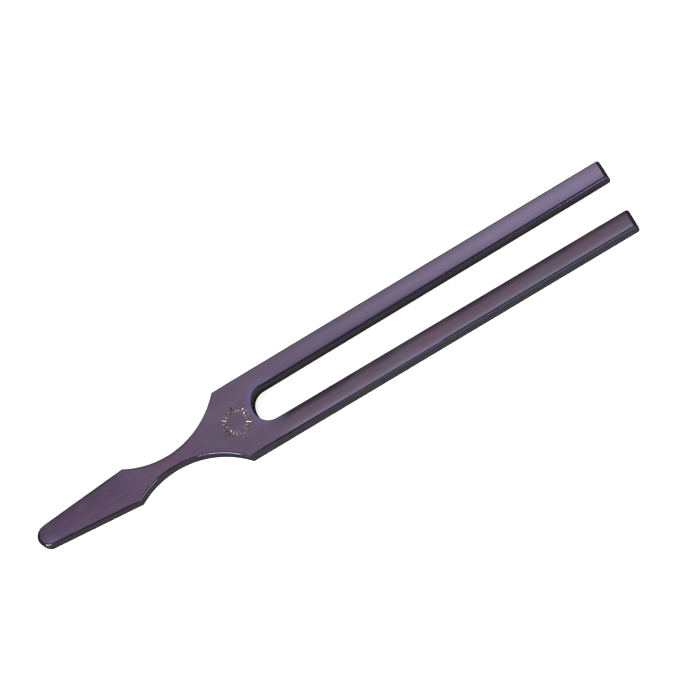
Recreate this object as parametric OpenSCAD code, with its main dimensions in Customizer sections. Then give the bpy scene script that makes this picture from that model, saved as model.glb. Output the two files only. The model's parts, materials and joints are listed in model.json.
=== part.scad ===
// Steel tuning fork for concert A, lying flat on its lower face.
// +X runs along the fork from the end of the handle to the tips, +Y is across it to the left,
// and +Z is up out of its flat face. The origin is the middle of the fork's box, on its underside.
// The fork is one bar of steel. It is divided only where the steel bends: each tine has a short
// flexing root, and the rest of the tine swings on it. The divisions meet face to face.

/* [Whole fork] */
// Length from the end of the handle to the tips
overall_l = 150; // [130:1:190]
// Thickness of the flat bar, at the yoke and the tines
bar_t = 4.75; // [3.5:0.05:7]

/* [Tines] */
// Length of the tines, from the bottom of the slot to the tips
tine_l = 93.8; // [80:0.1:100]
// Width of each tine where it leaves the yoke
tine_root_w = 4.8; // [3.5:0.05:6.5]
// Width of each tine at its tip, a little less after tuning
tine_tip_w = 4.6; // [3.5:0.05:6.5]
// Width of the slot at its rounded end
slot_root_w = 7.9; // [6:0.1:12]
// Width of the slot between the tips
slot_tip_w = 8.5; // [6:0.1:12]
// Size of the flat filed on each upright corner of a tip
tip_chamfer = 0.5; // [0.1:0.1:1.5]
// Distance from the bottom of the slot to the line that a tine bends about
bend_l = 14; // [9:0.5:20]

/* [Waist] */
// Width of the neck, the narrowest place
neck_w = 3.2; // [2.5:0.1:5]
// Distance from the end of the handle to the neck
neck_l = 34.6; // [28:0.1:38]
// Radius of the hollow on each side of the neck, from the handle to the shoulders
waist_r = 21; // [18:0.5:28]

/* [Handle] */
// Greatest width of the handle, at its two corners by the waist
handle_w = 8.7; // [6:0.1:12]
// Width of the handle where its rounded end begins
handle_end_w = 4.9; // [3.5:0.1:6]
// How far the rounded end stands out past its corners
handle_end_l = 1.8; // [0.8:0.1:2]
// Thickness of the handle and neck, which are filed thinner than the yoke
handle_t = 4; // [3:0.05:7]

/* [Hidden] */
$fn = 96;

// Stations along the fork
end_x = -overall_l / 2;
tip_x = overall_l / 2;
neck_x = end_x + neck_l;
slot_x = tip_x - tine_l;
slot_r = slot_root_w / 2;
root_x = slot_x + slot_r;
flex_x = slot_x + 2 * bend_l;
handle_end_x = end_x + handle_end_l;

// Half the width of the fork at its roots and at its tips
root_half = slot_r + tine_root_w;
tip_half = slot_tip_w / 2 + tine_tip_w;

// The hollow's centre stands this far from the middle line. The hollow ends at the handle's
// corner, and at the shoulder, which is the yoke's own width away
waist_y = neck_w / 2 + waist_r;
corner_x = neck_x - hollow_reach(handle_w / 2);
shoulder_x = neck_x + hollow_reach(root_half);

// Radius of the rounded end of the handle, through its two corners
handle_end_r = (pow(handle_end_w / 2, 2) + pow(handle_end_l, 2)) / (2 * handle_end_l);

// How far each flat face of the handle lies inside the yoke's
handle_inset = (bar_t - handle_t) / 2;

// Room past a face for a cutting shape
cut = 1;

// How far from the neck the hollow has opened to half a width
function hollow_reach(half) = sqrt(pow(waist_r, 2) - pow(waist_y - half, 2));

// A value that runs evenly from a at station x0 to b at station x1, and on past both
function along(x, x0, a, x1, b) = a + (b - a) * (x - x0) / (x1 - x0);

// Half the width of the fork over the tines, and half the width of the slot
function outer_y(x) = along(x, root_x, root_half, tip_x, tip_half);
function slot_y(x) = along(x, root_x, slot_r, tip_x, slot_tip_w / 2);

// Half the width of the handle
function handle_y(x) = along(x, handle_end_x, handle_end_w / 2, corner_x, handle_w / 2);

// The handle's tapered sides, carried on into the waist
module handle_plan() {
    polygon([
        [handle_end_x, -handle_y(handle_end_x)],
        [neck_x, -handle_y(neck_x)],
        [neck_x, handle_y(neck_x)],
        [handle_end_x, handle_y(handle_end_x)]
    ]);
}

// The rounded end of the handle
module handle_end_plan() {
    intersection() {
        translate([end_x + handle_end_r, 0]) circle(r = handle_end_r);
        translate([end_x - cut, -handle_end_w]) square([handle_end_l + cut, 2 * handle_end_w]);
    }
}

// The yoke's sides, carried back to the neck
module yoke_plan() {
    polygon([
        [neck_x, -outer_y(neck_x)],
        [root_x, -outer_y(root_x)],
        [root_x, outer_y(root_x)],
        [neck_x, outer_y(neck_x)]
    ]);
}

// The handle, neck and yoke seen from above, with the hollows and the end of the slot cut away
module stem_plan() {
    difference() {
        union() {
            handle_plan();
            handle_end_plan();
            yoke_plan();
        }
        for (side = [-1, 1]) translate([neck_x, side * waist_y]) circle(r = waist_r);
        translate([root_x, 0]) circle(r = slot_r);
    }
}

// The handle, neck and yoke seen from the side: full thickness up to the shoulders, and
// sloping down to the thinner neck and handle behind them
module stem_side() {
    polygon([
        [end_x - cut, handle_inset],
        [neck_x, handle_inset],
        [shoulder_x, 0],
        [root_x + cut, 0],
        [root_x + cut, bar_t],
        [shoulder_x, bar_t],
        [neck_x, bar_t - handle_inset],
        [end_x - cut, bar_t - handle_inset]
    ]);
}

// Handle, neck and yoke, where the pitch of the tines is felt and passed to a table or ear
module stem_yoke() {
    color("#5f4a5c") intersection() {
        linear_extrude(bar_t) stem_plan();
        translate([0, waist_y, 0]) rotate([90, 0, 0]) linear_extrude(2 * waist_y) stem_side();
    }
}

// The flexing root of a tine, on side 1 for the left and -1 for the right
module tine_root(side) {
    linear_extrude(bar_t) polygon([
        [root_x, side * slot_y(root_x)],
        [flex_x, side * slot_y(flex_x)],
        [flex_x, side * outer_y(flex_x)],
        [root_x, side * outer_y(root_x)]
    ]);
}

// The swinging length of a tine, on side 1 for the left and -1 for the right
module tine(side) {
    linear_extrude(bar_t) polygon([
        [flex_x, side * slot_y(flex_x)],
        [tip_x - tip_chamfer, side * slot_y(tip_x - tip_chamfer)],
        [tip_x, side * (slot_y(tip_x) + tip_chamfer)],
        [tip_x, side * (outer_y(tip_x) - tip_chamfer)],
        [tip_x - tip_chamfer, side * outer_y(tip_x - tip_chamfer)],
        [flex_x, side * outer_y(flex_x)]
    ]);
}

module left_root() color("#6b5570") tine_root(1);
module right_root() color("#6b5570") tine_root(-1);
module left_tine() color("#7c6a80") tine(1);
module right_tine() color("#7c6a80") tine(-1);

stem_yoke();
left_root();
right_root();
left_tine();
right_tine();
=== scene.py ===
"""A heat-blued steel tuning fork: one filed bar, with a punched ring on its yoke.

The bar is made in three meshes that meet face to face: the handle, neck and yoke, and one
bar for each tine. Sizes are in millimetres until a mesh is made.
"""

import json
import logging
import math
from dataclasses import dataclass, field
from enum import Enum
from functools import partial
from typing import Any, Callable, Sequence

import bmesh
import bpy
import numpy as np
from mathutils import Matrix, Vector
from mathutils.geometry import delaunay_2d_cdt


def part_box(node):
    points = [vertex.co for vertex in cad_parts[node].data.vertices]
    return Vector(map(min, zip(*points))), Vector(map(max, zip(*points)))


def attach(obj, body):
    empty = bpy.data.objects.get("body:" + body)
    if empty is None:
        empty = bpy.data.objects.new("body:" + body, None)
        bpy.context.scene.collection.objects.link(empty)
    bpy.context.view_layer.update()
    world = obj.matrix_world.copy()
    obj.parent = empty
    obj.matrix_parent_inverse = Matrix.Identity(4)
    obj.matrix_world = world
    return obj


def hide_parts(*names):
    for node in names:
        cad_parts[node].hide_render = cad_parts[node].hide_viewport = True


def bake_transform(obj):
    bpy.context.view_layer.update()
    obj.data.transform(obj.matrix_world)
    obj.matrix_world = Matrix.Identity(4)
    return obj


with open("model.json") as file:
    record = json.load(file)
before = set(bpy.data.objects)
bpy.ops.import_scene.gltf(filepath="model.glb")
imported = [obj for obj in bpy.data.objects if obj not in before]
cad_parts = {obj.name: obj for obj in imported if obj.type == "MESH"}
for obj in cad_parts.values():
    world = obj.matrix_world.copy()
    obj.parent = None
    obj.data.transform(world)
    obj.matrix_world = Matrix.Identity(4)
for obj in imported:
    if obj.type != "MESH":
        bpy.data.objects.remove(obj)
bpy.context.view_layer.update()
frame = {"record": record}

LOG = logging.getLogger("tuning_fork")
MM = 0.001
WHITE = (1, 1, 1, 1)
# Blender's noise seldom leaves this range.
NOISE_RANGE = {1: 0.3, 2: 0.7}
Point = tuple[float, float]
Stops = tuple[tuple[float, str], ...]
Source = bpy.types.Node | bpy.types.NodeSocket
Adder = Callable[..., bpy.types.Node]


class Surface(Enum):
    """Which finish a face of the steel takes, as its material slot."""

    FACE = 0
    ARRIS = 1
    SIDE = 2


class Side(Enum):
    """Which tine, as the sign of its distance from the middle line."""

    LEFT = 1
    RIGHT = -1


# ---------------------------------------------------------------- helpers


def linear(hex_colour: str) -> tuple[float, float, float, float]:
    """Turns an sRGB colour into the linear one that shaders take.

    Args:
        hex_colour: The colour as "#rrggbb".

    Returns:
        Red, green, blue and alpha, each from 0 to 1.
    """
    parts = [int(hex_colour[i : i + 2], 16) / 255 for i in (1, 3, 5)]
    rgb = [c / 12.92 if c <= 0.04045 else ((c + 0.055) / 1.055) ** 2.4 for c in parts]
    return (*rgb, 1.0)


def feed(node: bpy.types.Node, inputs: dict[int | str, Any]) -> None:
    """Gives a node's inputs their values and links.

    Args:
        node: The node.
        inputs: For each input, by name or number, a value, the socket that feeds it, or the
            node whose first visible output feeds it.
    """
    for key, value in inputs.items():
        if isinstance(value, bpy.types.Node):
            value = next(out for out in value.outputs if out.enabled)
        if isinstance(value, bpy.types.NodeSocket):
            node.id_data.links.new(value, node.inputs[key])
        else:
            node.inputs[key].default_value = value


def add_node(
    tree: bpy.types.NodeTree,
    kind: str,
    inputs: dict[int | str, Any] | None = None,
    ramp: Stops = (),
    **settings: Any,
) -> bpy.types.Node:
    """Adds a node with its settings, values and links.

    Args:
        tree: The tree that the node joins.
        kind: The node's type name.
        inputs: What its inputs get, as for feed.
        ramp: The stops of a colour ramp, each a place and an sRGB colour.
        settings: Attributes of the node itself.

    Returns:
        The new node.
    """
    node = tree.nodes.new(kind)
    for name, value in settings.items():
        setattr(node, name, value)
    feed(node, inputs or {})
    for i, (place, colour) in enumerate(ramp):
        stops = node.color_ramp.elements
        stop = stops[i] if i < 2 else stops.new(place)
        stop.position = place
        stop.color = linear(colour)
    return node


def geometry_tree(
    name: str, inputs: Sequence[tuple[str, str]]
) -> tuple[bpy.types.NodeTree, Adder, Any]:
    """Starts a Geometry Nodes tree with one geometry output.

    Args:
        name: The tree's name.
        inputs: The name and the socket type of each input.

    Returns:
        The tree, what adds a node to it, and the sockets that give its inputs.
    """
    tree = bpy.data.node_groups.new(name, "GeometryNodeTree")
    tree.interface.new_socket("Geometry", in_out="OUTPUT", socket_type="NodeSocketGeometry")
    for label, kind in inputs:
        tree.interface.new_socket(label, in_out="INPUT", socket_type=kind)
    return tree, partial(add_node, tree), tree.nodes.new("NodeGroupInput").outputs


def object_from(name: str, mesh: bpy.types.Mesh) -> bpy.types.Object:
    """Links a mesh into the scene as an object at the origin.

    Args:
        name: The object's name.
        mesh: Its mesh, with its place in its own points.

    Returns:
        The new object.
    """
    made = bpy.data.objects.new(name, mesh)
    bpy.context.scene.collection.objects.link(made)
    return made


def plain_mesh(piece: bpy.types.Object) -> None:
    """Turns what a piece's modifiers make into its own mesh, and removes them.

    Args:
        piece: The object, changed in place.
    """
    bpy.context.view_layer.update()
    graph = bpy.context.evaluated_depsgraph_get()
    done = bpy.data.meshes.new_from_object(piece.evaluated_get(graph), depsgraph=graph)
    done.name = piece.name
    piece.modifiers.clear()
    piece.data = done


def run_tree(piece: bpy.types.Object, tree: bpy.types.NodeTree, values: dict[str, Any]) -> None:
    """Applies a Geometry Nodes tree to a piece.

    Args:
        piece: The object, changed in place.
        tree: The tree.
        values: A value for each of its named inputs.
    """
    nodes = piece.modifiers.new(tree.name, "NODES")
    nodes.node_group = tree
    for item in tree.interface.items_tree:
        if item.in_out == "INPUT" and item.name in values:
            nodes[item.identifier] = values[item.name]
    plain_mesh(piece)


def finish_mesh(piece: bpy.types.Object, crease_deg: float = 50.0) -> None:
    """Turns a piece's faces outwards and shades it smooth, with its flats kept flat.

    Args:
        piece: The object, changed in place.
        crease_deg: Edges that turn more than this stay crisp.
    """
    made = bmesh.new()
    made.from_mesh(piece.data)
    bmesh.ops.recalc_face_normals(made, faces=made.faces)
    made.to_mesh(piece.data)
    made.free()
    piece.data.shade_smooth()
    piece.data.set_sharp_from_angle(angle=math.radians(crease_deg))
    flats = piece.modifiers.new("flat_faces", "WEIGHTED_NORMAL")
    flats.mode = "FACE_AREA"
    flats.weight = 100
    flats.keep_sharp = True
    plain_mesh(piece)


def join_body(piece: bpy.types.Object, body: str, *nodes: str) -> None:
    """Makes a piece ride on a body in place of its CAD nodes.

    Args:
        piece: The piece.
        body: The body that it rides on.
        nodes: The CAD nodes that it stands for.
    """
    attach(piece, body)
    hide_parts(*nodes)


def report(piece: bpy.types.Object) -> None:
    """Logs a finished piece."""
    LOG.info("%s: %d faces", piece.name, len(piece.data.polygons))


# ---------------------------------------------------------------- outlines


def arc(centre: Point, radius: float, start: float, end: float, steps: int) -> list[Point]:
    """Gives points along an arc, both ends included.

    Args:
        centre: The arc's centre.
        radius: Its radius.
        start: The angle of its first point, in radians.
        end: The angle of its last point, in radians.
        steps: How many equal parts it is cut into.

    Returns:
        The points in order.
    """
    turns = np.linspace(start, end, steps + 1)
    return [(centre[0] + radius * math.cos(a), centre[1] + radius * math.sin(a)) for a in turns]


def round_corner(before: Point, corner: Point, after: Point, radius: float) -> list[Point]:
    """Replaces a corner by a small curve.

    Args:
        before: The point before the corner.
        corner: The corner.
        after: The point after it.
        radius: The curve's radius.

    Returns:
        The curve's points, in order.
    """
    b, p, a = (np.array(q, float) for q in (before, corner, after))
    inward, outward = (p - b) / np.linalg.norm(p - b), (a - p) / np.linalg.norm(a - p)
    turn = math.acos(float(np.clip(inward @ outward, -1, 1)))
    reach = radius * math.tan(turn / 2)
    first, last = p - inward * reach, p + outward * reach
    bend = [(1 - s) ** 2 * first + 2 * s * (1 - s) * p + s**2 * last for s in np.linspace(0, 1, 6)]
    return [(float(x), float(y)) for x, y in bend]


def resampled(points: Sequence[Point], step: float) -> list[Point]:
    """Divides the long straights of a line into equal parts.

    Args:
        points: The line's points.
        step: The longest part allowed.

    Returns:
        The points, with the added ones between them.
    """
    out: list[Point] = [points[0]]
    for a, b in zip(points, points[1:]):
        parts = max(1, math.ceil(math.dist(a, b) / step))
        for i in range(1, parts + 1):
            out.append((a[0] + (b[0] - a[0]) * i / parts, a[1] + (b[1] - a[1]) * i / parts))
    return out


def smooth(share: np.ndarray) -> np.ndarray:
    """Eases a share in and out, and keeps it from 0 to 1."""
    share = np.clip(share, 0, 1)
    return share * share * (3 - 2 * share)


def along_line(line: np.ndarray) -> np.ndarray:
    """Gives how far along the line each of its points is."""
    return np.concatenate([[0], np.cumsum(np.linalg.norm(np.diff(line, axis=0), axis=1))])


def inward_normals(line: np.ndarray) -> np.ndarray:
    """Finds which way is into the steel at each point of a line that has it on its left.

    Args:
        line: The line's points, whose first and last lie on the root plane.

    Returns:
        One vector for each point, longer at corners so that an inset keeps its width.
    """
    along = np.diff(line, axis=0)
    along /= np.linalg.norm(along, axis=1)[:, None]
    left = np.stack([-along[:, 1], along[:, 0]], axis=1)
    before = np.vstack([left[:1], left])
    after = np.vstack([left, left[-1:]])
    mean = before + after
    mean /= np.linalg.norm(mean, axis=1)[:, None]
    normals = mean / np.clip((mean * after).sum(1), 0.5, 1)[:, None]
    normals[[0, -1], 0] = 0.0
    return normals


def inside(points: np.ndarray, loop: np.ndarray) -> np.ndarray:
    """Tells which points lie inside a closed loop.

    Args:
        points: The points to test.
        loop: The loop's points in order.

    Returns:
        True or False for each point.
    """
    hits = np.zeros(len(points), int)
    for (x0, y0), (x1, y1) in zip(loop, np.roll(loop, -1, axis=0)):
        crosses = (y0 > points[:, 1]) != (y1 > points[:, 1])
        at_x = x0 + (points[:, 1] - y0) * (x1 - x0) / (y1 - y0 + 1e-12)
        hits += crosses & (points[:, 0] < at_x)
    return hits % 2 == 1


# ---------------------------------------------------------------- sizes


@dataclass(frozen=True)
class ForkSizes:
    """The fork's sizes, in the CAD frame."""

    end_x: float
    root_x: float
    flex_x: float
    tip_x: float
    bar_t: float
    slot_half: float
    slot_half_flex: float
    root_half: float
    outer_half_flex: float
    handle_t: float
    neck_w: float = 3.2
    neck_l: float = 34.6
    waist_r: float = 21.0
    handle_w: float = 8.7
    handle_end_w: float = 4.9
    handle_end_l: float = 1.8
    left_arris_r: float = 0.3
    right_arris_r: float = 0.62
    handle_arris_r: float = 0.48
    under_arris_r: float = 0.25

    @classmethod
    def from_frame(cls, record: dict[str, Any]) -> "ForkSizes":
        """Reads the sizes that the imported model's boxes and mounts give.

        Args:
            record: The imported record.

        Returns:
            The sizes.
        """
        stem_low, stem_high = (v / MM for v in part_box("stem_yoke"))
        root_low, root_high = (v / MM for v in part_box("left_root"))
        tine_low, tine_high = (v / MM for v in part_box("left_tine"))
        faces = {m["name"]: m["pos_m"][2] / MM for m in record["mounts"]}
        return cls(
            end_x=stem_low.x,
            root_x=stem_high.x,
            flex_x=root_high.x,
            tip_x=tine_high.x,
            bar_t=stem_high.z,
            slot_half=root_low.y,
            slot_half_flex=tine_low.y,
            root_half=stem_high.y,
            outer_half_flex=root_high.y,
            handle_t=faces["handle_top"] - faces["handle_underside"],
        )

    def along(self, x: float, at_root: float, at_flex: float) -> float:
        """Follows a straight line through its values at the root and at the flex plane."""
        return at_root + (at_flex - at_root) * (x - self.root_x) / (self.flex_x - self.root_x)

    def outer_half(self, x: float) -> float:
        """Half the width over both tines, and over the yoke behind them."""
        return self.along(x, self.root_half, self.outer_half_flex)

    def slot_side(self, x: float) -> float:
        """Half the width of the slot."""
        return self.along(x, self.slot_half, self.slot_half_flex)

    @property
    def mid_z(self) -> float:
        """Height of the bar's middle plane."""
        return self.bar_t / 2

    @property
    def neck_x(self) -> float:
        """Station of the narrowest place."""
        return self.end_x + self.neck_l

    @property
    def shoulder_x(self) -> float:
        """Station of the right shoulder, where the hollow meets the yoke's side."""
        return self.neck_x + Hollow.right(self).reach(self.root_half)


@dataclass(frozen=True)
class Hollow:
    """One filed hollow between the handle and the yoke, measured on its own side."""

    x: float
    y: float
    radius: float

    @classmethod
    def right(cls, sizes: ForkSizes) -> "Hollow":
        """Gives the right hollow, which is filed to the drawing."""
        return cls(sizes.neck_x, sizes.neck_w / 2 + sizes.waist_r, sizes.waist_r)

    @classmethod
    def left(cls, sizes: ForkSizes, tighter: float = 0.6, nearer: float = 0.2) -> "Hollow":
        """Gives the left hollow, which the file cut a little tighter and nearer the handle."""
        radius = sizes.waist_r - tighter
        return cls(sizes.neck_x - nearer, sizes.neck_w / 2 + radius, radius)

    def reach(self, half: float) -> float:
        """How far from its centre the hollow has opened to this half width."""
        return math.sqrt(self.radius**2 - (self.y - half) ** 2)


# ---------------------------------------------------------------- finishes


@dataclass(frozen=True)
class Finish:
    """What all the finishes share: a name, and patterns in the fork's own millimetres."""

    name: str

    def start(self) -> tuple[bpy.types.Material, bpy.types.Node, Adder]:
        """Starts the material.

        Returns:
            The material, its shader, and what adds a node to its tree.
        """
        mat = bpy.data.materials.new(self.name)
        mat.use_nodes = True
        return mat, mat.node_tree.nodes["Principled BSDF"], partial(add_node, mat.node_tree)

    def patches(
        self,
        add: Adder,
        size_mm: Point,
        detail: float = 2.0,
        seed: float = 0.0,
        bend: float = 0.0,
    ) -> Source:
        """Lays noise over the steel.

        Args:
            add: Adds a node to the material's tree.
            size_mm: How long its patches are along the fork and across it.
            detail: How many finer layers it has.
            seed: Which part of the noise is used.
            bend: How far the patches are pulled out of shape.

        Returns:
            The noise, from 0 to 1.
        """
        place = add("ShaderNodeTexCoord").outputs["Object"]
        per_m = [1 / (size * MM) for size in (size_mm[0], size_mm[1], size_mm[1])]
        shift = (seed, seed * 0.7, 0)
        spread = add("ShaderNodeMapping", {"Vector": place, "Location": shift, "Scale": per_m})
        noise = {"Vector": spread, "Scale": 1.0, "Detail": detail, "Distortion": bend}
        return add("ShaderNodeTexNoise", noise).outputs["Fac"]

    def zones(self, add: Adder, sizes: ForkSizes, along: Source, stops: Stops) -> Source:
        """Lays a run of colours along the fork.

        Args:
            add: Adds a node to the material's tree.
            sizes: The fork's sizes.
            along: Distance along the fork, in metres.
            stops: Stations in mm, each with its colour.

        Returns:
            The colour.
        """
        ends = {1: sizes.end_x * MM, 2: sizes.tip_x * MM}
        share = add("ShaderNodeMapRange", {0: along, **ends})
        span = sizes.tip_x - sizes.end_x
        ramp = [((x - sizes.end_x) / span, colour) for x, colour in stops]
        return add("ShaderNodeValToRGB", {0: share}, ramp)


@dataclass(frozen=True)
class Drift:
    """A slow change of hue in soft patches.

    Attributes:
        colour: The hue that it tends to.
        size: How long its patches are along the fork and across it, in mm.
        seed: Which part of the noise it uses.
        most: How much of the hue shows at most.
    """

    colour: str
    size: Point
    seed: float
    most: float


@dataclass(frozen=True)
class Halo:
    """A patch of another colour: a change in the film, and at the handle's end a painted highlight
    and painted shade. Lengths are in mm.

    Attributes:
        x: Its centre along the fork.
        y: Its centre across the fork.
        inner: How far from the centre the colour is full.
        outer: How far from the centre it has gone.
        most: How much of the colour shows at most.
        colour: The colour.
    """

    x: float
    y: float
    inner: float
    outer: float
    most: float
    colour: str


@dataclass(frozen=True)
class BluedSteel(Finish):
    """Satin steel, polished flat and then heated until its oxide turned plum and violet.

    The film is clear and thin. The eye gets a metal's reflection, tinted, with slow drifts
    of hue where the heat was uneven, and fine lines left by the emery along the bar.
    Painted shade is laid into the colour as well: along the tines' edges, across the right
    tine, and on the handle's left side, with a painted highlight and shade at the handle's end.
    """

    name: str = "heat_blued_satin_steel"
    # The colour along the fork, growing lighter from the handle towards the tips.
    along: Stops = (
        (-75, "#514056"),
        (-45, "#544459"),
        (-24, "#55475a"),
        (-8, "#594e63"),
        (20, "#65596f"),
        (45, "#6f637c"),
        (75, "#726882"),
    )
    # Painted shade across each tine: a dark band along both edges of the face, beside the arris,
    # and a lighter middle.
    shade: Stops = (
        (0.12, "#a9a1bb"),
        (0.21, "#e8e6ec"),
        (0.45, "#ffffff"),
        (0.62, "#ffffff"),
        (0.92, "#dadada"),
    )
    # Painted shade across the right tine: dark at its inner edge and lighter towards the outer,
    # together with the film's own turn to steel blue at the outer edge.
    across: Stops = (
        (0.10, "#2d252f"),
        (0.20, "#3a303c"),
        (0.36, "#514353"),
        (0.50, "#534655"),
        (0.70, "#5a4d5d"),
        (0.86, "#6c6176"),
        (0.95, "#626985"),
    )
    # Painted shade: the handle grows darker towards its left side.
    painted_handle_shade: Stops = ((0.1, "#ffffff"), (0.9, "#dedce2"))
    drifts: tuple[Drift, ...] = (
        Drift("#53626b", (9.0, 3.2), 3.0, 0.19),
        Drift("#78535f", (8.0, 2.6), 11.0, 0.16),
    )
    drift_from: float = 0.46
    drift_to: float = 0.78
    roughness: Point = (0.28, 0.42)
    right_blend: float = 4.0
    handle_blend: Point = (-48.0, -56.0)
    wave_mm: float = 0.12
    line_mm: float = 0.004

    def build(self, sizes: ForkSizes) -> bpy.types.Material:
        """Makes the finish.

        Args:
            sizes: The fork's sizes, which place its zones.

        Returns:
            The material.
        """
        mat, shader, add = self.start()
        place = add("ShaderNodeTexCoord").outputs["Object"]
        along, aside, _ = add("ShaderNodeSeparateXYZ", {0: place}).outputs
        off_middle = add("ShaderNodeMath", {0: aside}, operation="ABSOLUTE")
        tine = {1: sizes.slot_half_flex * MM, 2: sizes.outer_half_flex * MM}
        width = add("ShaderNodeMapRange", {0: off_middle, **tine})
        # Painted shade: darker along the tines' edges.
        shade = add("ShaderNodeValToRGB", {0: width}, self.shade)
        # Painted shade and the film's hue across the right tine.
        crosswise_shade_and_hue = add("ShaderNodeValToRGB", {0: width}, self.across)
        root = {1: sizes.root_x * MM, 2: sizes.flex_x * MM}
        up_the_tine = add("ShaderNodeMapRange", {0: along, **root})
        near, far = ((sizes.root_x + way * self.right_blend) * MM for way in (-1, 1))
        eased = {"interpolation_type": "SMOOTHSTEP"}
        past_root = add("ShaderNodeMapRange", {0: along, 1: near, 2: far}, **eased)
        on_right = add("ShaderNodeMath", {0: aside, 1: 0.0}, operation="LESS_THAN")
        right = add("ShaderNodeMath", {0: past_root, 1: on_right}, operation="MULTIPLY")
        near, far = (x * MM for x in self.handle_blend)
        on_handle = add("ShaderNodeMapRange", {0: along, 1: near, 2: far}, **eased)
        half = sizes.handle_w / 2 * MM
        beside = add("ShaderNodeMapRange", {0: aside, 1: -half, 2: half})
        # Painted shade: darker towards the handle's left side.
        painted_handle_shade = add("ShaderNodeValToRGB", {0: beside}, self.painted_handle_shade)
        film = self.zones(add, sizes, along, self.along)
        for amount, colour, blend in (
            (up_the_tine, shade, "MULTIPLY"),
            (right, crosswise_shade_and_hue, "MIX"),
            (on_handle, painted_handle_shade, "MULTIPLY"),
        ):
            mixed = {"Factor": amount, 6: film, 7: colour}
            film = add("ShaderNodeMix", mixed, data_type="RGBA", blend_type=blend)
        # The slot's halo is the film's colour; the two at the handle's end are a painted highlight
        # and painted shade.
        for halo in self.halos(sizes):
            film = self.add_halo(add, film, place, sizes.bar_t, halo)
        film = self.add_drift(add, film, on_handle)
        feed(shader, {"Base Color": film, "Metallic": 1.0})
        self.add_grain(add, shader)
        return mat

    def halos(self, sizes: ForkSizes) -> tuple[Halo, ...]:
        """Places the violet blue that the heat left round the slot's end, and a painted highlight
        and painted shade at the handle's end.

        Args:
            sizes: The fork's sizes.

        Returns:
            Violet blue round the slot, then at the handle's end a lighter blue at the right corner,
            a painted highlight, and dark plum at the left corner, painted shade.
        """
        return (
            Halo(sizes.root_x, 0.6, 4.4, 6.0, 0.42, "#5d5c80"),
            Halo(sizes.end_x + 2.4, -2.1, 0.5, 3.3, 0.5, "#6c6690"),
            Halo(sizes.end_x + 2.4, 1.0, 1.2, 4.4, 0.6, "#3f3748"),
        )

    def add_halo(self, add: Adder, film: Source, place: Source, top: float, halo: Halo) -> Source:
        """Turns the film towards a halo's colour.

        Args:
            add: Adds a node to the material's tree.
            film: The colour so far.
            place: Object coordinates.
            top: The upper face's height, in mm.
            halo: The patch.

        Returns:
            The new colour.
        """
        centre = (halo.x * MM, halo.y * MM, top * MM)
        reach = add("ShaderNodeVectorMath", {0: place, 1: centre}, operation="DISTANCE")
        near = add(
            "ShaderNodeMapRange",
            {0: reach.outputs["Value"], 1: halo.outer * MM, 2: halo.inner * MM, 4: halo.most},
            interpolation_type="SMOOTHSTEP",
        )
        mixed = {"Factor": near, 6: film, 7: linear(halo.colour)}
        return add("ShaderNodeMix", mixed, data_type="RGBA")

    def add_drift(self, add: Adder, film: Source, on_handle: Source) -> Source:
        """Lets the film drift in hue, in soft patches that narrow to flames on the handle.

        Args:
            add: Adds a node to the material's tree.
            film: The colour so far.
            on_handle: Gives 1 on the handle and 0 beyond it.

        Returns:
            The new colour.
        """
        for drift in self.drifts:
            narrow = (drift.size[0] * 0.9, drift.size[1] * 0.45)
            slow = self.patches(add, drift.size, seed=drift.seed, bend=0.6)
            flame = self.patches(add, narrow, detail=3.0, seed=drift.seed + 5, bend=1.2)
            spread = add("ShaderNodeMix", {0: on_handle, 2: slow, 3: flame}, data_type="FLOAT")
            amount = add(
                "ShaderNodeMapRange",
                {0: spread, 1: self.drift_from, 2: self.drift_to, 4: drift.most},
                interpolation_type="SMOOTHSTEP",
            )
            mixed = {"Factor": amount, 6: film, 7: linear(drift.colour)}
            film = add("ShaderNodeMix", mixed, data_type="RGBA")
        return film

    def add_grain(self, add: Adder, shader: bpy.types.Node) -> None:
        """Adds the emery's fine lines and the faint waviness of a hand-filed flat.

        Args:
            add: Adds a node to the material's tree.
            shader: The material's shader.
        """
        # Real emery lines lie about 0.02 mm apart: they are drawn coarser, to show at all.
        lines = self.patches(add, (6.0, 0.18), detail=3.0, seed=21.0)
        wave = self.patches(add, (12.0, 5.0), detail=1.0, seed=31.0)
        limits = dict(zip((3, 4), self.roughness))
        rough = add("ShaderNodeMapRange", {0: lines, **NOISE_RANGE, **limits})
        bump: Source | None = None
        for height, depth in ((wave, self.wave_mm), (lines, self.line_mm)):
            relief = {"Height": height, "Distance": depth * MM, "Strength": 1.0}
            bump = add("ShaderNodeBump", relief | ({"Normal": bump} if bump else {}))
        feed(shader, {"Roughness": rough, "Normal": bump})


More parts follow.
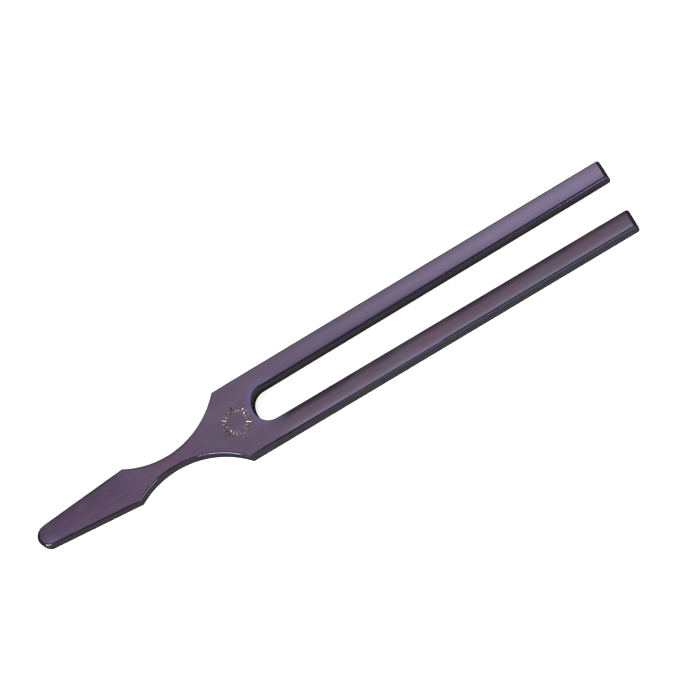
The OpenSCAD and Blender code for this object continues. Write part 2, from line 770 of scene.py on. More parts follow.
@dataclass(frozen=True)
class BluedArris(Finish):
    """The edges, broken with a fine file and polished, which heated first.

    Their film went past plum to deep violet, and they are smoother than the flats, so they
    draw a dark line that flashes where it turns to the light. Their colour is also darkened
    as painted shade, standing in for the dark band that the turning edge reflects. A trace of
    oil keeps the flash nearly white. The right tine's outer edge is duller and went on to steel
    blue.
    """

    name: str = "deep_violet_polished_arris"
    # Deep violet, darker than the flats: partly the film's own colour and partly painted shade for
    # the edge's dark reflected band.
    deep: str = "#1d192b"
    light: str = "#241f33"
    steel_blue: str = "#292b3a"
    roughness: Point = (0.30, 0.22)
    dull_roughness: float = 0.5
    oil: Stops = (
        (-74, "#ffffff"),
        (-70, "#909090"),
        (-41, "#909090"),
        (-37, "#ffffff"),
        (-24, "#ffffff"),
        (-14, "#888888"),
    )
    oil_roughness: float = 0.14
    dull_edge: Point = (1.2, 0.8)
    dull_from: float = 3.0
    mark_mm: float = 0.003

    def build(self, sizes: ForkSizes) -> bpy.types.Material:
        """Makes the finish.

        Args:
            sizes: The fork's sizes, which place the duller edge.

        Returns:
            The material.
        """
        mat, shader, add = self.start()
        place = add("ShaderNodeTexCoord").outputs["Object"]
        along, aside, _ = add("ShaderNodeSeparateXYZ", {0: place}).outputs
        near, far = ((inset - sizes.outer_half_flex) * MM for inset in self.dull_edge)
        on_edge = add("ShaderNodeMapRange", {0: aside, 1: near, 2: far})
        past_root = add(
            "ShaderNodeMapRange",
            {0: along, 1: (sizes.shoulder_x + self.dull_from) * MM, 2: sizes.flex_x * MM},
            interpolation_type="SMOOTHSTEP",
        )
        dull = add("ShaderNodeMath", {0: on_edge, 1: past_root}, operation="MULTIPLY")
        worn = self.patches(add, (4.0, 1.5), detail=1.0, seed=5.0, bend=0.5)
        film = add("ShaderNodeValToRGB", {0: worn}, ((0.38, self.deep), (0.66, self.light)))
        mixed = {"Factor": dull, 6: film, 7: linear(self.steel_blue)}
        limits = dict(zip((3, 4), self.roughness))
        rough = add("ShaderNodeMapRange", {0: worn, **NOISE_RANGE, **limits})
        marks = self.patches(add, (1.4, 0.8), detail=1.0, seed=9.0)
        # Fingers wipe most of the oil off the handle and the tines; white is where it stays.
        oil = self.zones(add, sizes, along, self.oil)
        looks = {
            "Base Color": add("ShaderNodeMix", mixed, data_type="RGBA"),
            "Roughness": add(
                "ShaderNodeMix", {0: dull, 2: rough, 3: self.dull_roughness}, data_type="FLOAT"
            ),
            "Normal": add("ShaderNodeBump", {"Height": marks, "Distance": self.mark_mm * MM}),
            "Coat Weight": add("ShaderNodeMapRange", {0: dull, 3: oil, 4: 0.0}),
            "Coat Roughness": self.oil_roughness,
            "Metallic": 1.0,
        }
        feed(shader, looks)
        return mat


@dataclass(frozen=True)
class ScaledSide(Finish):
    """The sawn and filed sides, under a dull coat of magnetite scale.

    The scale is porous, so the eye gets a dark charcoal with hardly any shine, broken by
    browner patches and by fine file marks that run across the side.
    """

    name: str = "charcoal_scale_sides"
    dark: str = "#201f22"
    brown: str = "#262424"
    roughness: Point = (0.52, 0.72)
    specular: float = 0.0
    mark_mm: float = 0.06

    def build(self) -> bpy.types.Material:
        """Makes the finish.

        Returns:
            The material.
        """
        mat, shader, add = self.start()
        blotches = self.patches(add, (3.0, 1.6), detail=4.0, seed=2.0, bend=0.4)
        marks = self.patches(add, (0.35, 1.1), detail=3.0, seed=7.0)
        limits = dict(zip((3, 4), self.roughness))
        colours = ((0.35, self.dark), (0.70, self.brown))
        looks = {
            "Base Color": add("ShaderNodeValToRGB", {0: blotches}, colours),
            "Roughness": add("ShaderNodeMapRange", {0: marks, **NOISE_RANGE, **limits}),
            "Normal": add("ShaderNodeBump", {"Height": marks, "Distance": self.mark_mm * MM}),
            "Specular IOR Level": self.specular,
        }
        feed(shader, looks)
        return mat


@dataclass(frozen=True)
class PunchedCut(Finish):
    """The punch's cuts, struck after the polish, where the heat left straw over brown.

    Their burnished flanks are smoother than the flats, so the eye gets small pale glints
    beside dark brown shade.
    """

    name: str = "straw_tempered_cuts"
    straw: str = "#b5a5a3"
    brown: str = "#3e2c29"
    roughness: float = 0.33

    def build(self) -> bpy.types.Material:
        """Makes the finish.

        Returns:
            The material.
        """
        mat, shader, add = self.start()
        mix = self.patches(add, (0.5, 0.5), seed=4.0)
        colour = add("ShaderNodeValToRGB", {0: mix}, ((0.40, self.brown), (0.62, self.straw)))
        feed(shader, {"Base Color": colour, "Metallic": 1.0, "Roughness": self.roughness})
        return mat


@dataclass(frozen=True)
class Finishes:
    """The fork's four finishes, made once."""

    face: bpy.types.Material
    arris: bpy.types.Material
    side: bpy.types.Material
    cut: bpy.types.Material

    @classmethod
    def build(cls, sizes: ForkSizes) -> "Finishes":
        """Makes them all."""
        face, arris = BluedSteel().build(sizes), BluedArris().build(sizes)
        return cls(face, arris, ScaledSide().build(), PunchedCut().build())


# ---------------------------------------------------------------- sub-assemblies


@dataclass(frozen=True)
class PunchedRing:
    """A plain ring of radial punch strokes, struck into the yoke's upper face."""

    x: float = -23.35
    strokes: int = 22
    inner_r: float = 2.15
    outer_r: float = 3.5
    stroke_w: float = 0.42
    stroke_round: float = 0.6
    depth: float = 0.15
    seed: int = 7
    cells: int = 16
    margin: float = 0.35
    ring_step: float = 0.12
    clear_in: float = 0.9
    clear_out: float = 0.4
    sway: float = 0.05
    length_spread: Point = (0.86, 1.06)
    blow_per_m: float = 700.0
    blow_force: Point = (0.55, 1.0)
    rim: float = 0.8
    lid_mm: float = 0.05

    @property
    def reach(self) -> float:
        """Radius of the face that is made fine enough to take the strokes."""
        return self.outer_r + self.margin

    def fine_points(self) -> np.ndarray:
        """Points of the yoke's face under the strokes, close enough to follow their shape.

        Returns:
            The points on the plan.
        """
        around = self.strokes * self.cells
        radii = np.arange(self.inner_r - self.margin, self.reach, self.ring_step)
        turns = np.arange(around) * 2 * math.pi / around
        r, a = np.meshgrid(radii, turns)
        return np.column_stack([(self.x + r * np.cos(a)).ravel(), (r * np.sin(a)).ravel()])

    def tree(self) -> bpy.types.NodeTree:
        """Makes the tree that lays the strokes round a circle and sinks them into a face.

        Returns:
            The tree.
        """
        floats = ("Ring Radius", "Stroke Length", "Stroke Width", "Depth", "Face Height")
        tree, add, get = geometry_tree(
            "punched_ring",
            [("Geometry", "NodeSocketGeometry"), ("Centre", "NodeSocketVector")]
            + [("Strokes", "NodeSocketInt"), ("Seed", "NodeSocketInt")]
            + [(name, "NodeSocketFloat") for name in floats]
            + [("Cut Finish", "NodeSocketMaterial")],
        )
        ring = add("GeometryNodeMeshCircle", {"Vertices": get["Strokes"], 1: get["Ring Radius"]})
        spoke = add("ShaderNodeCombineXYZ", {0: get["Stroke Length"]})
        start, end = (
            add("ShaderNodeVectorMath", {0: spoke, "Scale": part}, operation="SCALE")
            for part in (-0.5, 0.5)
        )
        stroke = add(
            "GeometryNodeMeshLine",
            {"Count": 2, "Start Location": start, "Offset": end},
            mode="END_POINTS",
        )
        place = add("GeometryNodeInputPosition")
        outward = add("FunctionNodeAlignRotationToVector", {"Vector": place}, axis="X")
        sway = add(
            "FunctionNodeRandomValue",
            {0: (0, 0, -self.sway), 1: (0, 0, self.sway), "Seed": get["Seed"]},
            data_type="FLOAT_VECTOR",
        )
        sway_turn = add("FunctionNodeEulerToRotation", {0: sway})
        turn = add("FunctionNodeRotateRotation", {0: outward, 1: sway_turn}, rotation_space="LOCAL")
        shortest, longest = self.length_spread
        size = add(
            "FunctionNodeRandomValue",
            {0: (shortest, 1, 1), 1: (longest, 1, 1), "Seed": get["Seed"]},
            data_type="FLOAT_VECTOR",
        )
        struck = add(
            "GeometryNodeInstanceOnPoints",
            {"Points": ring, "Instance": stroke, "Rotation": turn, "Scale": size},
        )
        lines = add("GeometryNodeRealizeInstances", {0: struck})
        placed = add("GeometryNodeTransform", {0: lines, "Translation": get["Centre"]})
        near = add(
            "GeometryNodeProximity",
            {"Geometry": placed, "Sample Position": place},
            target_element="EDGES",
        ).outputs["Distance"]
        kept = add("GeometryNodeCaptureAttribute", {"Geometry": get["Geometry"]})
        kept.capture_items.new("FLOAT", "Stroke Distance")
        tree.links.new(near, kept.inputs[1])
        half_width = add("ShaderNodeMath", {0: get["Stroke Width"], 1: 0.5}, operation="MULTIPLY")
        sink = add(
            "ShaderNodeMapRange",
            {0: kept.outputs[1], 1: 0.0, 2: half_width, 3: get["Depth"], 4: 0.0},
            interpolation_type="SMOOTHSTEP",
        )
        blow = add("ShaderNodeTexNoise", {"Vector": place, "Scale": self.blow_per_m, "Detail": 1.0})
        weak, strong = self.blow_force
        force = add("ShaderNodeMapRange", {0: blow, **NOISE_RANGE, 3: -weak, 4: -strong})
        drop = add("ShaderNodeMath", {0: sink, 1: force}, operation="MULTIPLY")
        down = add("ShaderNodeCombineXYZ", {2: drop})
        height = add("ShaderNodeSeparateXYZ", {0: place}).outputs["Z"]
        lid = add(
            "ShaderNodeMath", {0: get["Face Height"], 1: self.lid_mm * MM}, operation="SUBTRACT"
        )
        upper = add("FunctionNodeCompare", {0: height, 1: lid}, operation="GREATER_THAN")
        moved = add(
            "GeometryNodeSetPosition", {"Geometry": kept, "Selection": upper, "Offset": down}
        )
        whole = add("GeometryNodeRealizeInstances", {0: moved})
        rim = add("ShaderNodeMath", {0: half_width, 1: self.rim}, operation="MULTIPLY")
        in_stroke = add("FunctionNodeCompare", {0: kept.outputs[1], 1: rim}, operation="LESS_THAN")
        dressed = add(
            "GeometryNodeSetMaterial",
            {"Geometry": whole, "Selection": in_stroke, "Material": get["Cut Finish"]},
        )
        add("NodeGroupOutput", {0: dressed})
        return tree

    def strike(self, piece: bpy.types.Object, height: float, cut: bpy.types.Material) -> None:
        """Strikes the ring into the yoke.

        Args:
            piece: The stem, changed in place.
            height: Height of its upper face.
            cut: The finish of the cuts.
        """
        lengths = {
            "Ring Radius": (self.inner_r + self.outer_r) / 2,
            "Stroke Length": self.outer_r - self.inner_r - self.stroke_w * self.stroke_round,
            "Stroke Width": self.stroke_w,
            "Depth": self.depth,
            "Face Height": height,
        }
        values = {name: length * MM for name, length in lengths.items()}
        values |= {"Strokes": self.strokes, "Seed": self.seed, "Cut Finish": cut}
        values["Centre"] = (self.x * MM, 0.0, height * MM)
        run_tree(piece, self.tree(), values)


@dataclass
class StemAndYoke:
    """The handle, neck and yoke, with the round end of the slot and the punched ring."""

    sizes: ForkSizes
    ring: PunchedRing = field(default_factory=PunchedRing)
    corner_r: float = 0.42
    corner_arris_r: float = 0.34
    end_arris_r: float = 0.95
    slot_arris_r: float = 0.13
    slot_end_power: float = 2.25
    slot_fade: float = 4.0
    crown_w: float = 1.3
    crown_flat: float = 0.8
    arris_flat: float = 0.992
    arris_steep: float = 0.56
    arris_wave: float = 0.14
    ripples: tuple[tuple[float, float, float], ...] = ((1.9, 0.7, 0.5), (4.3, 2.1, 0.3))
    arris_steps: int = 8
    root_fade: float = 3.0
    corner_fade: float = 2.5
    end_fade: Point = (1.0, 3.0)
    slim_span: Point = (4.0, 14.0)
    crown_end: float = 9.0
    crown_start: float = 3.0
    crown_fade: Point = (4.0, 8.0)
    slot_scale_w: float = 0.8
    end_scale_l: float = 1.2
    end_scale_flat: float = 0.97
    outline_step: float = 0.6
    face_step: float = 1.1
    fine_gap: float = 0.06

    def half_outline(self, hollow: Hollow) -> list[Point]:
        """The side from the root to the middle of the handle's end, as if it were the left.

        Args:
            hollow: The side's hollow.

        Returns:
            The points in order, with the steel on their left.
        """
        s = self.sizes
        centre = (hollow.x, hollow.y)
        shoulder_x = hollow.x + hollow.reach(s.root_half)
        shoulder = (shoulder_x, s.outer_half(shoulder_x))
        corner = (hollow.x - hollow.reach(s.handle_w / 2), s.handle_w / 2)
        start = math.atan2(shoulder[1] - centre[1], shoulder[0] - centre[0])
        end = math.atan2(corner[1] - centre[1], corner[0] - centre[0])
        curve = arc(centre, hollow.radius, start, end, 60)
        end_half = s.handle_end_w / 2
        end_r = (end_half**2 + s.handle_end_l**2) / (2 * s.handle_end_l)
        cap = arc((s.end_x + end_r, 0.0), end_r, math.pi - math.asin(end_half / end_r), math.pi, 14)
        root = (s.root_x, s.root_half)
        return [
            root,
            *round_corner(root, shoulder, curve[1], self.corner_r),
            *curve[2:-2],
            *round_corner(curve[-2], corner, cap[0], self.corner_r),
            *cap,
        ]

    def outer_line(self) -> list[Point]:
        """Draws the whole outside.

        Returns:
            The points from the left root round the handle to the right root.
        """
        left = resampled(self.half_outline(Hollow.left(self.sizes)), self.outline_step)
        right = resampled(self.half_outline(Hollow.right(self.sizes)), self.outline_step)
        return left + [(x, -y) for x, y in reversed(right[:-1])]

    def slot_line(self) -> list[Point]:
        """Draws the slot's end, which is filed a little squarer than round.

        Returns:
            The points from the right root to the left.
        """
        s = self.sizes
        round_end = arc((0.0, 0.0), 1.0, -math.pi / 2, -3 * math.pi / 2, 48)
        squarer = 2 / self.slot_end_power
        shape = [(abs(x) ** squarer, math.copysign(abs(y) ** squarer, y)) for x, y in round_end]
        return [(s.root_x - s.slot_half * x, s.slot_half * y) for x, y in shape]

    def half_thickness(self, x: float) -> float:
        """Gives half the bar's thickness, which eases down from the shoulders to the neck.

        Args:
            x: The station.

        Returns:
            The half thickness there.
        """
        s = self.sizes
        share = (x - s.neck_x) / (s.shoulder_x - s.neck_x)
        return (s.handle_t + (s.bar_t - s.handle_t) * min(max(share, 0.0), 1.0)) / 2

    def corners(self) -> list[Point]:
        """Finds the two shoulders and the handle's two wide corners, which are left crisp.

        Returns:
            The four points.
        """
        s, found = self.sizes, []
        for hollow, way in ((Hollow.left(s), 1), (Hollow.right(s), -1)):
            found.append((hollow.x + hollow.reach(s.root_half), way * s.root_half))
            found.append((hollow.x - hollow.reach(s.handle_w / 2), way * s.handle_w / 2))
        return found

    def arris_radii(self, line: np.ndarray) -> np.ndarray:
        """Gives the broken edge's height round the outside: uneven, and fuller at the end.

        Args:
            line: The outline's points.

        Returns:
            One radius for each point.
        """
        s, (x, y), run = self.sizes, line.T, along_line(line)
        near, far = self.slim_span
        slimmer = np.clip((s.neck_x + far - x) / (far - near), 0, 1)
        right = s.right_arris_r + (s.handle_arris_r - s.right_arris_r) * slimmer
        uneven = sum(np.sin(run * rate + start) * high for rate, start, high in self.ripples)
        fade = np.clip(np.minimum(run, run[-1] - run) / self.root_fade, 0, 1)
        radii = np.where(y > 0, s.left_arris_r, right) * (1 + self.arris_wave * uneven * fade)
        for corner in self.corners():
            off = np.clip(np.linalg.norm(line - corner, axis=1) / self.corner_fade, 0, 1)
            radii = self.corner_arris_r + (radii - self.corner_arris_r) * off
        near, far = self.end_fade
        at_end = smooth((s.end_x + far - x) / (far - near))
        return radii + (self.end_arris_r - radii) * at_end

    def slot_arris_radii(self, line: np.ndarray) -> np.ndarray:
        """Gives the broken edge's height round the slot's end, where it thins out.

        Args:
            line: The slot line's points.

        Returns:
            One radius for each point.
        """
        run = along_line(line)
        radii = np.where(line[:, 1] < 0, self.sizes.left_arris_r, self.sizes.right_arris_r)
        thinner = smooth(np.minimum(run, run[-1] - run) / self.slot_fade)
        return radii + (self.slot_arris_r - radii) * thinner

    def crown(self, line: np.ndarray) -> np.ndarray:
        """Tells how much of the left edge's soft crown each point has, from 0 to 1.

        Args:
            line: The outline's points.

        Returns:
            One share for each point: all along the handle and neck, and none at the corners.
        """
        s, (x, y), (short, long) = self.sizes, line.T, self.crown_fade
        share = np.clip((s.neck_x + self.crown_end - x) / long, 0, 1)
        share *= np.clip((x - s.end_x - self.crown_start) / short, 0, 1) * (y > 0)
        for corner in self.corners():
            share *= np.clip(np.linalg.norm(line - corner, axis=1) / short, 0, 1)
        return smooth(share)

    def rows(self, line: np.ndarray, drops: np.ndarray) -> list[np.ndarray]:
        """Carries a line up from the lower face to the upper, round both arrises.

        Args:
            line: The outline, with the steel on its left.
            drops: The upper broken edge's height at each of its points.

        Returns:
            One array of points for each row, lowest first, measured from the middle plane.
        """
        normals = inward_normals(line)
        insets = drops + (self.crown_w - drops) * self.crown(line)
        under = np.full(len(line), self.sizes.under_arris_r)
        halves = []
        for depths, widths in ((under, under), (drops, insets)):
            halves.append([])
            for turn in np.linspace(0, math.pi / 2, self.arris_steps + 1):
                at = line + normals * (widths * (1 - math.cos(turn)))[:, None]
                rise = np.array([self.half_thickness(x) for x in at[:, 0]])
                halves[-1].append(np.column_stack([at, rise - depths * (1 - math.sin(turn))]))
        return [row * [1, 1, -1] for row in reversed(halves[0])] + halves[1]

    def face_triangles(self, loop: np.ndarray) -> tuple[np.ndarray, list[tuple[int, ...]]]:
        """Fills a flat face with even triangles, finer under the punched ring.

        Args:
            loop: The face's edge in order, on the plan.

        Returns:
            The added points, and triangles that number the loop's points first.
        """
        low, high = loop.min(0), loop.max(0)
        step = self.face_step
        spans = [np.arange(low[i] + step / 2, high[i], step) for i in (0, 1)]
        grid = np.stack(np.meshgrid(*spans), axis=-1).reshape(-1, 2)
        ring, centre = self.ring, np.array([self.ring.x, 0.0])
        off_ring = np.linalg.norm(grid - centre, axis=1)
        outer, inner = ring.reach + ring.clear_out, ring.inner_r - ring.clear_in
        off_ring = (off_ring > outer) | (off_ring < inner)
        grid = np.vstack([grid[off_ring], ring.fine_points()])
        gap = np.min(np.linalg.norm(grid[:, None] - loop[None], axis=2), axis=1)
        fine = np.linalg.norm(grid - centre, axis=1) < ring.reach + ring.clear_out / 2
        added = grid[inside(grid, loop) & (gap > np.where(fine, self.fine_gap, step / 2))]
        points = [Vector(p) for p in np.vstack([loop, added])]
        made = delaunay_2d_cdt(points, [], [list(range(len(loop)))], 1, 1e-7)
        if any(not sources for sources in made[3]):
            raise ValueError("the face's edge crosses itself")
        return added, [tuple(made[3][i][0] for i in face) for face in made[2]]

    def build(self) -> bpy.types.Mesh:
        """Makes the closed bar, before its punch marks.

        Returns:
            The mesh, in metres.
        """
        outside, slot_end = np.array(self.outer_line()), np.array(self.slot_line())
        sides = [
            self.rows(outside, self.arris_radii(outside)),
            self.rows(slot_end, self.slot_arris_radii(slot_end)),
        ]
        made = bmesh.new()
        lift = Vector((0, 0, self.sizes.mid_z))
        grids = [
            [[made.verts.new((Vector(p) + lift) * MM) for p in row] for row in rows]
            for rows in sides
        ]
        for grid in grids:
            for j, (low, high) in enumerate(zip(grid, grid[1:])):
                for i in range(len(low) - 1):
                    face = made.faces.new((low[i], low[i + 1], high[i + 1], high[i]))
                    face.material_index = self.surface_of(face, j).value
        self.fill_faces(made, sides, grids)
        outer, slot = grids
        for first, last in ((slot, outer), (outer, slot)):
            cap = [row[0] for row in first] + [row[-1] for row in reversed(last)]
            made.faces.new(cap).material_index = Surface.SIDE.value
        mesh = bpy.data.meshes.new("stem_and_yoke")
        made.to_mesh(mesh)
        made.free()
        return mesh

    def surface_of(self, face: bmesh.types.BMFace, row: int) -> Surface:
        """Picks the finish of a face of the rows.

        Args:
            face: The face.
            row: Which row it is in, from the lowest.

        Returns:
            The surface.
        """
        face.normal_update()
        s, level = self.sizes, abs(face.normal.z)
        x, y, _ = face.calc_center_median() / MM
        crowned = y > 0 and x < s.neck_x + self.crown_end
        in_slot = math.hypot(x - s.root_x, y) < s.slot_half + self.slot_scale_w
        at_end = x < s.end_x + self.end_scale_l and level < self.end_scale_flat
        scaled = in_slot or at_end
        if row == self.arris_steps or level < self.arris_steep or scaled:
            return Surface.SIDE
        flat = self.crown_flat if crowned else self.arris_flat
        return Surface.FACE if level > flat else Surface.ARRIS

    def fill_faces(self, made: bmesh.types.BMesh, sides: list, grids: list) -> None:
        """Closes the upper and lower faces.

        Args:
            made: The mesh in the making.
            sides: The rows of points of the outside and of the slot's end.
            grids: The vertices made from those rows.
        """
        loop = np.vstack([rows[-1][:, :2] for rows in sides])
        added, triangles = self.face_triangles(loop)
        rise = np.array([self.half_thickness(x) for x in added[:, 0]])
        for row, way in ((-1, 1), (0, -1)):
            height = (self.sizes.mid_z + way * rise)[:, None]
            inner = [made.verts.new(Vector(p) * MM) for p in np.hstack([added, height])]
            verts = [v for grid in grids for v in grid[row]] + inner
            for triangle in triangles:
                face = made.faces.new([verts[i] for i in triangle[::way]])
                face.material_index = Surface.FACE.value

    def dress(self, finishes: Finishes) -> bpy.types.Object:
        """Makes the piece with its finishes and its punched ring.

        Args:
            finishes: The fork's finishes.

        Returns:
            The piece.
        """
        mesh = self.build()
        for finish in (finishes.face, finishes.arris, finishes.side):
            mesh.materials.append(finish)
        piece = object_from("stem_and_yoke", mesh)
        self.ring.strike(piece, self.sizes.bar_t, finishes.cut)
        finish_mesh(piece)
        join_body(piece, "stem", "stem_yoke")
        report(piece)
        return piece


@dataclass
class TineBar:
    """One tine from its root to its tip: a tapered bar with broken edges and a rounded end."""

    sizes: ForkSizes
    side: Side
    slant: float = 0.0
    end_corner_r: float = 0.6
    end_edge_r: float = 0.85
    stations: int = 110
    corner_steps: int = 8
    slant_l: float = 6.0
    slant_half: float = 2.5
    arris_steep: float = 0.56
    arris_flat: float = 0.995
    end_facing: float = 0.2

    def tree(self) -> bpy.types.NodeTree:
        """Makes the tree that draws the bar's section along it and shapes it to its rule.

        Returns:
            The tree.
        """
        floats = ("Root Station", "Tip Station", "Root Offset", "Tip Offset", "Root Width")
        floats += ("Tip Width", "Thickness", "Mid Height", "Left Arris Radius")
        floats += ("Right Arris Radius", "Under Arris Radius", "End Corner Radius")
        floats += ("End Edge Radius", "Slant", "Set Back")
        tree, add, get = geometry_tree(
            "filed_bar",
            [("Geometry", "NodeSocketGeometry")]
            + [(name, "NodeSocketFloat") for name in floats]
            + [("Stations", "NodeSocketInt"), ("Corner Steps", "NodeSocketInt")]
            + [(f"{s.name.title()} Finish", "NodeSocketMaterial") for s in Surface],
        )
        # Stations crowd towards the tip, where the end is rounded.
        line = add("GeometryNodeCurvePrimitiveLine", {"End": (1, 0, 0)})
        cuts = add("GeometryNodeResampleCurve", {0: line, "Count": get["Stations"]})
        place = add("GeometryNodeInputPosition")
        axes = add("ShaderNodeSeparateXYZ", {0: place}).outputs
        swing = add("ShaderNodeMath", {0: axes["X"], 1: math.pi / 2}, operation="MULTIPLY")
        crowd = add("ShaderNodeMath", {0: swing}, operation="SINE")
        station = add(
            "ShaderNodeMapRange", {0: crowd, 3: get["Root Station"], 4: get["Tip Station"]}
        )
        spot = add("ShaderNodeCombineXYZ", {0: station})
        path = add("GeometryNodeSetPosition", {"Geometry": cuts, "Position": spot})
        section = add(
            "GeometryNodeCurvePrimitiveQuadrilateral",
            {"Width": get["Root Width"], "Height": get["Thickness"]},
        )
        # The section is drawn mirrored: its positive X and Y become the bar's right and underside.
        sign = {1: -0.01 * MM, 2: 0.01 * MM}
        radius: Source = get["Left Arris Radius"]
        for axis, name in (("X", "Right Arris Radius"), ("Y", "Under Arris Radius")):
            radius = add("ShaderNodeMapRange", {0: axes[axis], **sign, 3: radius, 4: get[name]})
        rounded = add(
            "GeometryNodeFilletCurve",
            {0: section, "Count": get["Corner Steps"], "Radius": radius},
            mode="POLY",
        )
        bar = add(
            "GeometryNodeCurveToMesh", {"Curve": path, "Profile Curve": rounded, "Fill Caps": True}
        )
        along = {0: axes["X"], 1: get["Root Station"], 2: get["Tip Station"]}
        offset = add("ShaderNodeMapRange", {**along, 3: get["Root Offset"], 4: get["Tip Offset"]})
        width = add("ShaderNodeMapRange", {**along, 3: get["Root Width"], 4: get["Tip Width"]})
        slim = add("ShaderNodeMath", {0: width, 1: get["Root Width"]}, operation="DIVIDE")
        # The end's rounding: how much of the section is left, from 1 down to the flat end.
        scales = []
        for full, name in ((width, "End Corner Radius"), (get["Thickness"], "End Edge Radius")):
            bend_start = add(
                "ShaderNodeMath", {0: get["Tip Station"], 1: get[name]}, operation="SUBTRACT"
            )
            into = add("ShaderNodeMapRange", {0: axes["X"], 1: bend_start, 2: get["Tip Station"]})
            turned = add("ShaderNodeMath", {0: into}, operation="ARCSINE")
            left = add("ShaderNodeMath", {0: turned}, operation="COSINE")
            lost = add("ShaderNodeMath", {0: get[name], 1: full}, operation="DIVIDE")
            flat = add("ShaderNodeMath", {0: lost, 1: -2.0, 2: 1.0}, operation="MULTIPLY_ADD")
            scales.append(add("ShaderNodeMapRange", {0: left, 3: flat, 4: 1.0}))
        across = add("ShaderNodeMath", {0: axes["Y"], 1: slim}, operation="MULTIPLY")
        new_y = add(
            "ShaderNodeMath", {0: across, 1: scales[0], 2: offset}, operation="MULTIPLY_ADD"
        )
        new_z = add(
            "ShaderNodeMath",
            {0: axes["Z"], 1: scales[1], 2: get["Mid Height"]},
            operation="MULTIPLY_ADD",
        )
        # A slanted end: one side is cut back, over the last few millimetres.
        outward = add(
            "ShaderNodeMapRange", {0: axes["Y"], 1: -self.slant_half * MM, 2: self.slant_half * MM}
        )
        ease_start = add(
            "ShaderNodeMath", {0: get["Tip Station"], 1: self.slant_l * MM}, operation="SUBTRACT"
        )
        ease = add("ShaderNodeMapRange", {0: axes["X"], 1: ease_start, 2: get["Tip Station"]})
        cut_back = add(
            "ShaderNodeMath",
            {0: outward, 1: get["Slant"], 2: get["Set Back"]},
            operation="MULTIPLY_ADD",
        )
        shift = add("ShaderNodeMath", {0: cut_back, 1: ease}, operation="MULTIPLY")
        new_x = add("ShaderNodeMath", {0: axes["X"], 1: shift}, operation="SUBTRACT")
        point = add("ShaderNodeCombineXYZ", {0: new_x, 1: new_y, 2: new_z})
        shaped = add("GeometryNodeSetPosition", {"Geometry": bar, "Position": point})
        last = add("GeometryNodeRealizeInstances", {0: shaped})
        normal = add("GeometryNodeInputNormal")
        facing = add("ShaderNodeSeparateXYZ", {0: normal}).outputs
        tilt = add("ShaderNodeMath", {0: facing["Z"]}, operation="ABSOLUTE")
        # Each pick paints over the ones before it: everything, then the arrises, flats and end.
        picks = ((Surface.SIDE, tilt, -1.0), (Surface.ARRIS, tilt, self.arris_steep))
        picks += ((Surface.FACE, tilt, self.arris_flat),)
        picks += ((Surface.SIDE, facing["X"], self.end_facing),)
        for surface, measure, least in picks:
            above = add("FunctionNodeCompare", {0: measure, 1: least}, operation="GREATER_THAN")
            finish = get[f"{surface.name.title()} Finish"]
            dressed = {"Geometry": last, "Selection": above, "Material": finish}
            last = add("GeometryNodeSetMaterial", dressed)
        add("NodeGroupOutput", {0: last})
        return tree

    def dress(self, finishes: Finishes) -> bpy.types.Object:
        """Makes the piece with its finishes.

        Args:
            finishes: The fork's finishes.

        Returns:
            The piece.
        """
        s, name = self.sizes, self.side.name.lower()
        piece = object_from(f"{name}_tine_bar", bpy.data.meshes.new(f"{name}_tine_bar"))
        lengths = {
            "Thickness": s.bar_t,
            "Mid Height": s.mid_z,
            "Left Arris Radius": s.left_arris_r,
            "Right Arris Radius": s.right_arris_r,
            "Under Arris Radius": s.under_arris_r,
            "End Corner Radius": self.end_corner_r,
            "End Edge Radius": self.end_edge_r,
            "Slant": self.slant,
            "Set Back": max(-self.slant, 0),
        }
        for end, x in (("Root", s.root_x), ("Tip", s.tip_x)):
            inner, outer = s.slot_side(x), s.outer_half(x)
            lengths[f"{end} Station"] = x
            lengths[f"{end} Offset"] = self.side.value * (inner + outer) / 2
            lengths[f"{end} Width"] = outer - inner
        values = {label: length * MM for label, length in lengths.items()}
        values |= {"Stations": self.stations, "Corner Steps": self.corner_steps}
        dressed = (("Face", finishes.face), ("Arris", finishes.arris), ("Side", finishes.side))
        values |= {f"{label} Finish": finish for label, finish in dressed}
        run_tree(piece, self.tree(), values)
        finish_mesh(piece)
        y = lengths["Root Offset"]
        start, end = ((x * MM, y * MM, s.mid_z * MM) for x in (s.root_x, s.flex_x))
        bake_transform(piece)
        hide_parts(f"{name}_root", f"{name}_tine")
        report(piece)
        return piece


# ---------------------------------------------------------------- stage


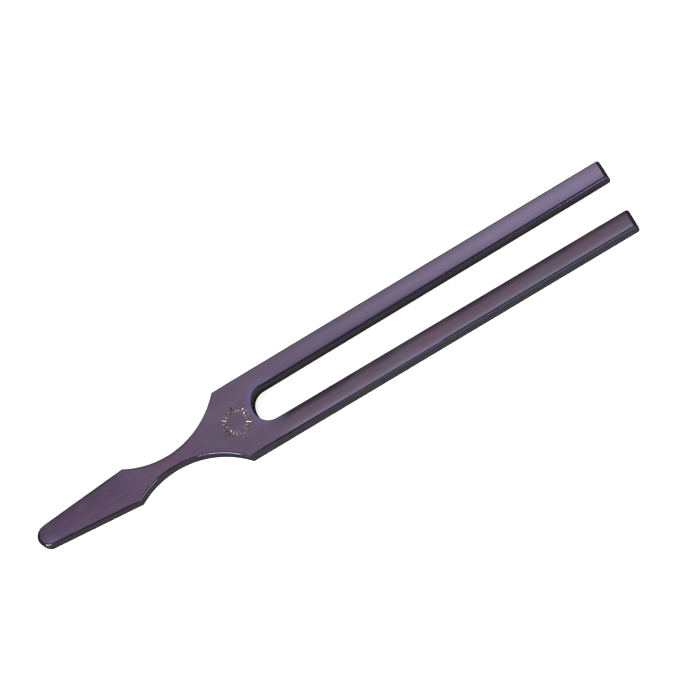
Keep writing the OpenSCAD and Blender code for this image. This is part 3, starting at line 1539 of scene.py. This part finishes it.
@dataclass(frozen=True)
class Viewpoint:
    """A long lens above the fork, leaning a little towards its right side and its tips."""

    lean_deg: float = 15.96
    forward_deg: float = 3.85
    roll_deg: float = 30.945
    distance: float = 1.2
    px_per_mm: float = 4.518
    aim_mm: Point = (4.73, 4.35)
    frame_px: float = 700.0
    sensor_mm: float = 36.0

    def axes(self) -> tuple[Vector, Vector, Vector]:
        """Works out which way the camera points.

        Returns:
            Its right, up and back directions.
        """
        a, b, r = (math.radians(v) for v in (self.lean_deg, self.forward_deg, self.roll_deg))
        right = Vector((math.cos(b), math.sin(a) * math.sin(b), -math.cos(a) * math.sin(b)))
        up = Vector((0, math.cos(a), math.sin(a)))
        back = Vector((math.sin(b), -math.sin(a) * math.cos(b), math.cos(a) * math.cos(b)))
        turned_right = right * math.cos(r) - up * math.sin(r)
        return turned_right, right * math.sin(r) + up * math.cos(r), back

    def build(self, middle: Vector) -> None:
        """Makes the camera.

        Args:
            middle: The middle of the fork, in metres.
        """
        right, up, back = self.axes()
        aim = middle + (right * self.aim_mm[0] + up * self.aim_mm[1]) * MM
        data = bpy.data.cameras.new("viewpoint")
        data.sensor_width = self.sensor_mm
        data.lens = self.px_per_mm * self.distance / MM * self.sensor_mm / self.frame_px
        data.clip_start, data.clip_end = 0.05, 20
        camera = bpy.data.objects.new("viewpoint", data)
        bpy.context.scene.collection.objects.link(camera)
        turn = Matrix((right, up, back)).transposed().to_4x4()
        camera.matrix_world = Matrix.Translation(aim + back * self.distance) @ turn
        bpy.context.scene.camera = camera


@dataclass(frozen=True)
class Panel:
    """One soft light, aimed at the fork."""

    name: str
    place: tuple[float, float, float]
    size: Point
    watts: float
    colour: str = "#ffffff"

    def build(self) -> None:
        """Makes the light."""
        data = bpy.data.lights.new(self.name, "AREA")
        data.shape = "RECTANGLE"
        data.size, data.size_y = self.size
        data.energy = self.watts
        data.color = linear(self.colour)[:3]
        lamp = bpy.data.objects.new(self.name, data)
        lamp.visible_camera = False
        lamp.location = self.place
        lamp.rotation_euler = Vector(self.place).to_track_quat("Z", "Y").to_euler()
        bpy.context.scene.collection.objects.link(lamp)


@dataclass(frozen=True)
class Studio:
    """A pale floor under soft lights."""

    floor_size: float = 6.0
    floor_drop: float = 0.00005
    floor_colour: str = "#f6f6f6"
    floor_glow: float = 0.68
    floor_roughness: float = 0.9
    floor_specular: float = 0.1
    room: float = 0.55
    panels: tuple[Panel, ...] = (
        Panel("overhead", (-0.07, 0.27, 0.95), (0.95, 0.95), 2.9),
        Panel("low_front", (0.19, -0.45, 0.14), (0.28, 0.12), 3.8),
        Panel("low_back", (-0.40, -0.34, 0.2), (0.26, 0.12), 2.6),
    )

    def build(self) -> None:
        """Makes the floor and the lights."""
        made = bmesh.new()
        low = Matrix.Translation((0, 0, -self.floor_drop))
        half = self.floor_size / 2
        bmesh.ops.create_grid(made, x_segments=1, y_segments=1, size=half, matrix=low)
        mesh = bpy.data.meshes.new("floor")
        made.to_mesh(mesh)
        made.free()
        mat = bpy.data.materials.new("pale_matte_floor")
        mat.use_nodes = True
        shader = mat.node_tree.nodes["Principled BSDF"]
        looks = {
            "Base Color": linear(self.floor_colour),
            "Roughness": self.floor_roughness,
            "Specular IOR Level": self.floor_specular,
            "Emission Color": WHITE,
            "Emission Strength": self.floor_glow,
        }
        feed(shader, looks)
        mesh.materials.append(mat)
        object_from("floor", mesh)
        for panel in self.panels:
            panel.build()
        world = bpy.data.worlds.new("room")
        bpy.context.scene.world = world
        world.use_nodes = True
        feed(world.node_tree.nodes["Background"], {"Color": WHITE, "Strength": self.room})
        bpy.context.scene.view_settings.view_transform = "Standard"


def main() -> None:
    """Builds the fork and its stage."""
    logging.basicConfig(level=logging.INFO, format="%(name)s: %(message)s")
    sizes = ForkSizes.from_frame(frame["record"])
    finishes = Finishes.build(sizes)
    StemAndYoke(sizes).dress(finishes)
    TineBar(sizes, Side.LEFT, slant=0.1).dress(finishes)
    TineBar(sizes, Side.RIGHT).dress(finishes)
    Viewpoint().build(Vector((0, 0, sizes.mid_z * MM)))
    Studio().build()


if __name__ == "__main__":
    main()
